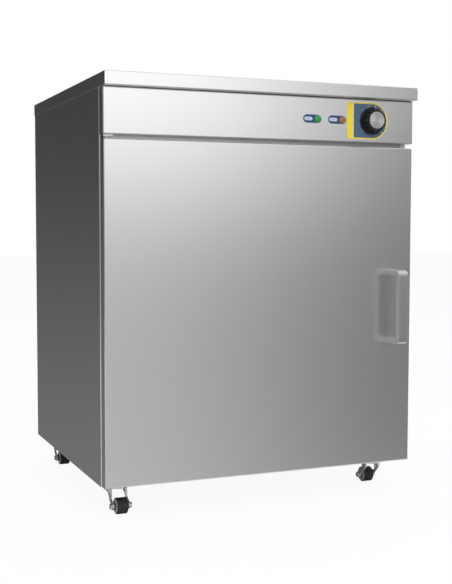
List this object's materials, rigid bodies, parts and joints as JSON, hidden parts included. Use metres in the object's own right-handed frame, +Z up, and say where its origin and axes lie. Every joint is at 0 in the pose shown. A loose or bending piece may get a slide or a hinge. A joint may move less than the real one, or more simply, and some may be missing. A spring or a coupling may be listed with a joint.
{
  "type": "plate warmer cabinet",
  "caption": "Insulated plate warmer cabinet with a hinged door, a thermostat knob and lamps over it, wire shelves inside, and swivel casters.",
  "frame": {"origin": "middle of the whole outline, on the surface the casters stand on", "axes": "+Z up, -Y out of the door, +X to the right seen from the front (the handle's side)"},
  "size_m": [0.6022, 0.562, 0.7575],
  "materials": {
    "satin_steel": "satin brushed stainless sheet",
    "rear_steel": "plain mill-finish stainless sheet",
    "liner_steel": "mill-finish stainless sheet",
    "mineral_wool": "loose mineral wool blanket",
    "bright_wire": "bright welded wire",
    "handle_steel": "satin bent bar",
    "knob_black": "matte moulded black",
    "knob_cap_metal": "turned, radially brushed",
    "lens_green": "clear green moulded lens",
    "lens_amber": "clear amber moulded lens",
    "lamp_plastic": "white moulded",
    "thermostat_case": "moulded phenolic",
    "copper_tube": "drawn tube",
    "cutout_plastic": "moulded ceramic-filled case",
    "terminal_plastic": "white moulded",
    "cable_sheath": "silicone sheath",
    "gland_nylon": "moulded nylon",
    "element_steel": "heat-tinted sheathed tube",
    "hinge_steel": "plain cut steel",
    "hinge_nylon": "natural nylon",
    "seal_rubber": "extruded silicone",
    "magnet_holder": "moulded holder with steel pole plates",
    "caster_zinc": "bright zinc-plated pressing",
    "fastener_zinc": "bright zinc-plated",
    "wheel_tread": "moulded dark wheel",
    "dial_film": "screen-printed polyester film",
    "wheel_core": "moulded grey core"
  },
  "bodies": {
    "cabinet": {"worktop": "satin_steel", "side_panel_left": "satin_steel", "side_panel_right": "satin_steel", "rear_panel": "rear_steel", "base_pan": "rear_steel", "front_frame": "rear_steel", "liner_left": "liner_steel", "liner_right": "liner_steel", "liner_back": "liner_steel", "liner_ceiling": "liner_steel", "liner_floor": "liner_steel", "insulation_wrap": "mineral_wool", "insulation_top": "mineral_wool", "insulation_floor": "mineral_wool", "control_fascia": "satin_steel", "control_tray": "rear_steel", "thermostat_body": "thermostat_case", "thermostat_bulb": "copper_tube", "thermal_cutout": "cutout_plastic", "terminal_block": "terminal_plastic", "wiring_loom": "cable_sheath", "lamp_bodies": "lamp_plastic", "lamp_lens_green": "lens_green", "lamp_lens_amber": "lens_amber", "heating_element": "element_steel", "heater_guard": "liner_steel", "rack_left": "bright_wire", "rack_right": "bright_wire", "shelf_upper": "bright_wire", "shelf_lower": "bright_wire", "cable_gland": "gland_nylon", "hinge_bracket_top": "hinge_steel", "hinge_bracket_bottom": "hinge_steel", "hinge_pins": "hinge_steel", "caster_plates": "caster_zinc", "caster_bolts": "fastener_zinc", "magnet_catch": "magnet_holder"},
    "door": {"door_outer_skin": "satin_steel", "door_inner_skin": "liner_steel", "door_insulation": "mineral_wool", "door_gasket": "seal_rubber", "door_handle": "handle_steel", "handle_screws": "fastener_zinc", "hinge_bushes": "hinge_nylon", "catch_keeper": "hinge_steel"},
    "knob": {"knob_skirt": "knob_black", "knob_cap": "knob_cap_metal", "thermostat_spindle": "hinge_steel"},
    "swivel_front_left": {"fork_front_left": "caster_zinc", "axle_front_left": "fastener_zinc"},
    "roller_front_left": {"wheel_front_left": "wheel_tread"},
    "swivel_front_right": {"fork_front_right": "caster_zinc", "axle_front_right": "fastener_zinc"},
    "roller_front_right": {"wheel_front_right": "wheel_tread"},
    "swivel_rear_left": {"fork_rear_left": "caster_zinc", "axle_rear_left": "fastener_zinc"},
    "roller_rear_left": {"wheel_rear_left": "wheel_tread"},
    "swivel_rear_right": {"fork_rear_right": "caster_zinc", "axle_rear_right": "fastener_zinc"},
    "roller_rear_right": {"wheel_rear_right": "wheel_tread"}
  },
  "joints": [
    {"name": "door_hinge", "type": "hinge", "parent": "cabinet", "child": "door", "pos_m": [-0.29235, -0.2335, 0.35225], "axis": [0, 0, -1], "range_deg": [0, 110]},
    {"name": "knob_turn", "type": "hinge", "parent": "cabinet", "child": "knob", "pos_m": [0.2118, -0.241, 0.694], "axis": [0, 1, 0], "range_deg": [0, 270]},
    {"name": "swivel_front_left", "type": "hinge", "parent": "cabinet", "child": "swivel_front_left", "pos_m": [-0.2595, -0.176, 0.045], "axis": [0, 0, 1], "continuous": true},
    {"name": "spin_front_left", "type": "hinge", "parent": "swivel_front_left", "child": "roller_front_left", "pos_m": [-0.2595, -0.198, 0.0143], "axis": [1, 0, 0], "continuous": true},
    {"name": "swivel_front_right", "type": "hinge", "parent": "cabinet", "child": "swivel_front_right", "pos_m": [0.2595, -0.176, 0.045], "axis": [0, 0, 1], "continuous": true},
    {"name": "spin_front_right", "type": "hinge", "parent": "swivel_front_right", "child": "roller_front_right", "pos_m": [0.2595, -0.154, 0.0143], "axis": [1, 0, 0], "continuous": true},
    {"name": "swivel_rear_left", "type": "hinge", "parent": "cabinet", "child": "swivel_rear_left", "pos_m": [-0.2595, 0.226, 0.045], "axis": [0, 0, 1], "continuous": true},
    {"name": "spin_rear_left", "type": "hinge", "parent": "swivel_rear_left", "child": "roller_rear_left", "pos_m": [-0.2595, 0.204, 0.0143], "axis": [1, 0, 0], "continuous": true},
    {"name": "swivel_rear_right", "type": "hinge", "parent": "cabinet", "child": "swivel_rear_right", "pos_m": [0.2595, 0.226, 0.045], "axis": [0, 0, 1], "continuous": true},
    {"name": "spin_rear_right", "type": "hinge", "parent": "swivel_rear_right", "child": "roller_rear_right", "pos_m": [0.2595, 0.248, 0.0143], "axis": [1, 0, 0], "continuous": true}
  ]
}
